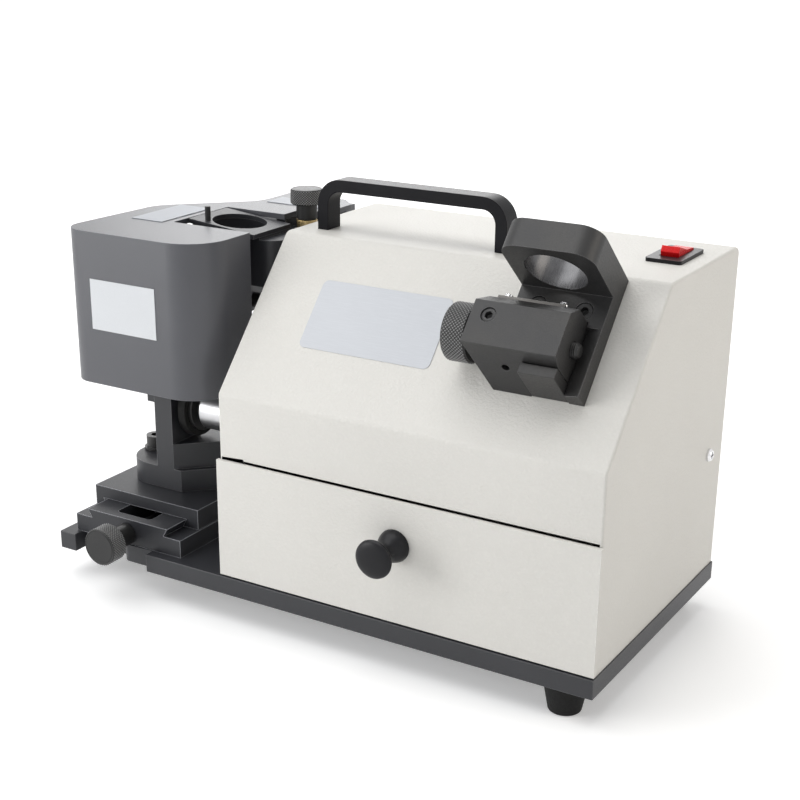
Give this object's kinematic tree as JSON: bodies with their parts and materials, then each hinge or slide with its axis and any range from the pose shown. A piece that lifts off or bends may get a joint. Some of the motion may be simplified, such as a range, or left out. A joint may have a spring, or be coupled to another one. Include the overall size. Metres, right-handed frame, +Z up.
{
  "type": "end mill re-sharpening grinder",
  "caption": "Bench grinder that re-sharpens end mills: sheet housing with drawer, hooded wheel and tool socket on a cross slide, and a tool setter on the slope.",
  "frame": {"origin": "middle of the part's footprint box, on the floor under the rubber feet", "axes": "+X to the right along the front, +Y to the back, +Z up"},
  "size_m": [0.3856, 0.214, 0.268],
  "materials": {
    "white_paint": "fine textured cream white paint",
    "dark_paint": "dark grey satin paint",
    "black_oxide": "black oxide",
    "black_plastic": "black moulded plastic",
    "red_plastic": "clear red plastic",
    "bright_steel": "ground bright steel",
    "silver_film": "satin silver sheet",
    "rubber": "black rubber",
    "brass": "turned brass",
    "cast_aluminium": "cast aluminium",
    "abrasive": "grit coated steel"
  },
  "bodies": {
    "base": {"base_plate": "dark_paint", "rubber_feet": "rubber", "foot_screws": "bright_steel", "housing": "white_paint", "housing_screws": "bright_steel", "handle": "black_plastic", "handle_screws": "bright_steel", "switch_body": "black_plastic", "nameplate": "silver_film", "power_inlet": "black_plastic", "inlet_screws": "bright_steel", "motor_stand": "dark_paint", "stand_screws": "bright_steel", "motor_body": "cast_aluminium", "motor_end_caps": "cast_aluminium", "motor_bolts": "bright_steel", "motor_capacitor": "silver_film", "drive_belt": "rubber", "spindle_bracket": "dark_paint", "spindle_sleeve": "bright_steel", "spindle_bearings": "bright_steel", "drawer_runners": "bright_steel", "rail_base": "dark_paint", "rail_screws": "black_oxide", "setter_bracket": "black_oxide", "setter_screws": "black_oxide", "stop_block": "black_oxide", "stop_strip": "bright_steel", "stop_jaw": "black_oxide"},
    "drawer": {"drawer_tray": "white_paint", "drawer_front": "white_paint", "drawer_knob": "black_plastic"},
    "rocker": {"rocker": "red_plastic"},
    "motor_rotor": {"motor_rotor": "bright_steel", "motor_fan": "black_plastic", "motor_pulley": "bright_steel"},
    "spindle": {"spindle_shaft": "bright_steel", "spindle_pulley": "bright_steel", "grinding_wheel": "abrasive", "wheel_flange": "black_oxide", "wheel_nut": "bright_steel"},
    "cross_slide": {"cross_slide": "dark_paint", "slide_gib": "bright_steel", "gib_screws": "black_oxide", "feed_nut": "brass", "swivel_bolts": "black_oxide"},
    "feed_screw": {"feed_screw": "bright_steel", "feed_knob": "black_oxide"},
    "upright": {"upright": "dark_paint", "head_block": "dark_paint", "head_screws": "black_oxide", "socket_plate": "dark_paint", "index_pins": "bright_steel", "thumb_ring": "brass", "hinge_pin": "bright_steel"},
    "hood": {"hood": "dark_paint", "hood_plates": "silver_film"},
    "thumb_screw": {"thumb_screw": "black_oxide"},
    "setter_knob": {"setter_knob": "black_oxide"}
  },
  "joints": [
    {"name": "drawer_slide", "type": "slide", "parent": "base", "child": "drawer", "axis": [0, -1, 0], "range_m": [0, 0.095]},
    {"name": "rocker_tilt", "type": "hinge", "parent": "base", "child": "rocker", "pos_m": [0.168, 0.0577, 0.231], "axis": [1, 0, 0], "range_deg": [0, 22]},
    {"name": "motor_spin", "type": "hinge", "parent": "base", "child": "motor_rotor", "pos_m": [0.0402, 0.0494, 0.17], "axis": [1, 0, 0], "continuous": true},
    {"name": "spindle_spin", "type": "hinge", "parent": "base", "child": "spindle", "pos_m": [-0.0798, -0.0136, 0.1106], "axis": [1, 0, 0], "continuous": true},
    {"name": "cross_feed", "type": "slide", "parent": "base", "child": "cross_slide", "axis": [0, 1, 0], "range_m": [-0.0045, 0.0045]},
    {"name": "feed_turn", "type": "hinge", "parent": "base", "child": "feed_screw", "pos_m": [-0.1403, -0.0786, 0.0375], "axis": [0, -1, 0], "range_deg": [-820, 820]},
    {"name": "head_swivel", "type": "hinge", "parent": "cross_slide", "child": "upright", "pos_m": [-0.1568, 0.0074, 0.064], "axis": [0, 0, 1], "range_deg": [-2, 2]},
    {"name": "hood_lift", "type": "hinge", "parent": "upright", "child": "hood", "pos_m": [-0.0988, 0.0914, 0.224], "axis": [-1, 0, 0], "range_deg": [0, 70]},
    {"name": "thumb_turn", "type": "hinge", "parent": "upright", "child": "thumb_screw", "pos_m": [-0.0766, 0.0429, 0.23], "axis": [0, 0, 1], "range_deg": [-360, 360]},
    {"name": "setter_turn", "type": "hinge", "parent": "base", "child": "setter_knob", "pos_m": [0.0952, -0.05384, 0.20266], "axis": [1, 0, 0], "range_deg": [-720, 720]}
  ],
  "couplings": [
    {"joint": "spindle_spin", "follows": "motor_spin", "ratio": 1.5714},
    {"joint": "feed_turn", "follows": "cross_feed", "rad_per_m": 3141.6}
  ]
}
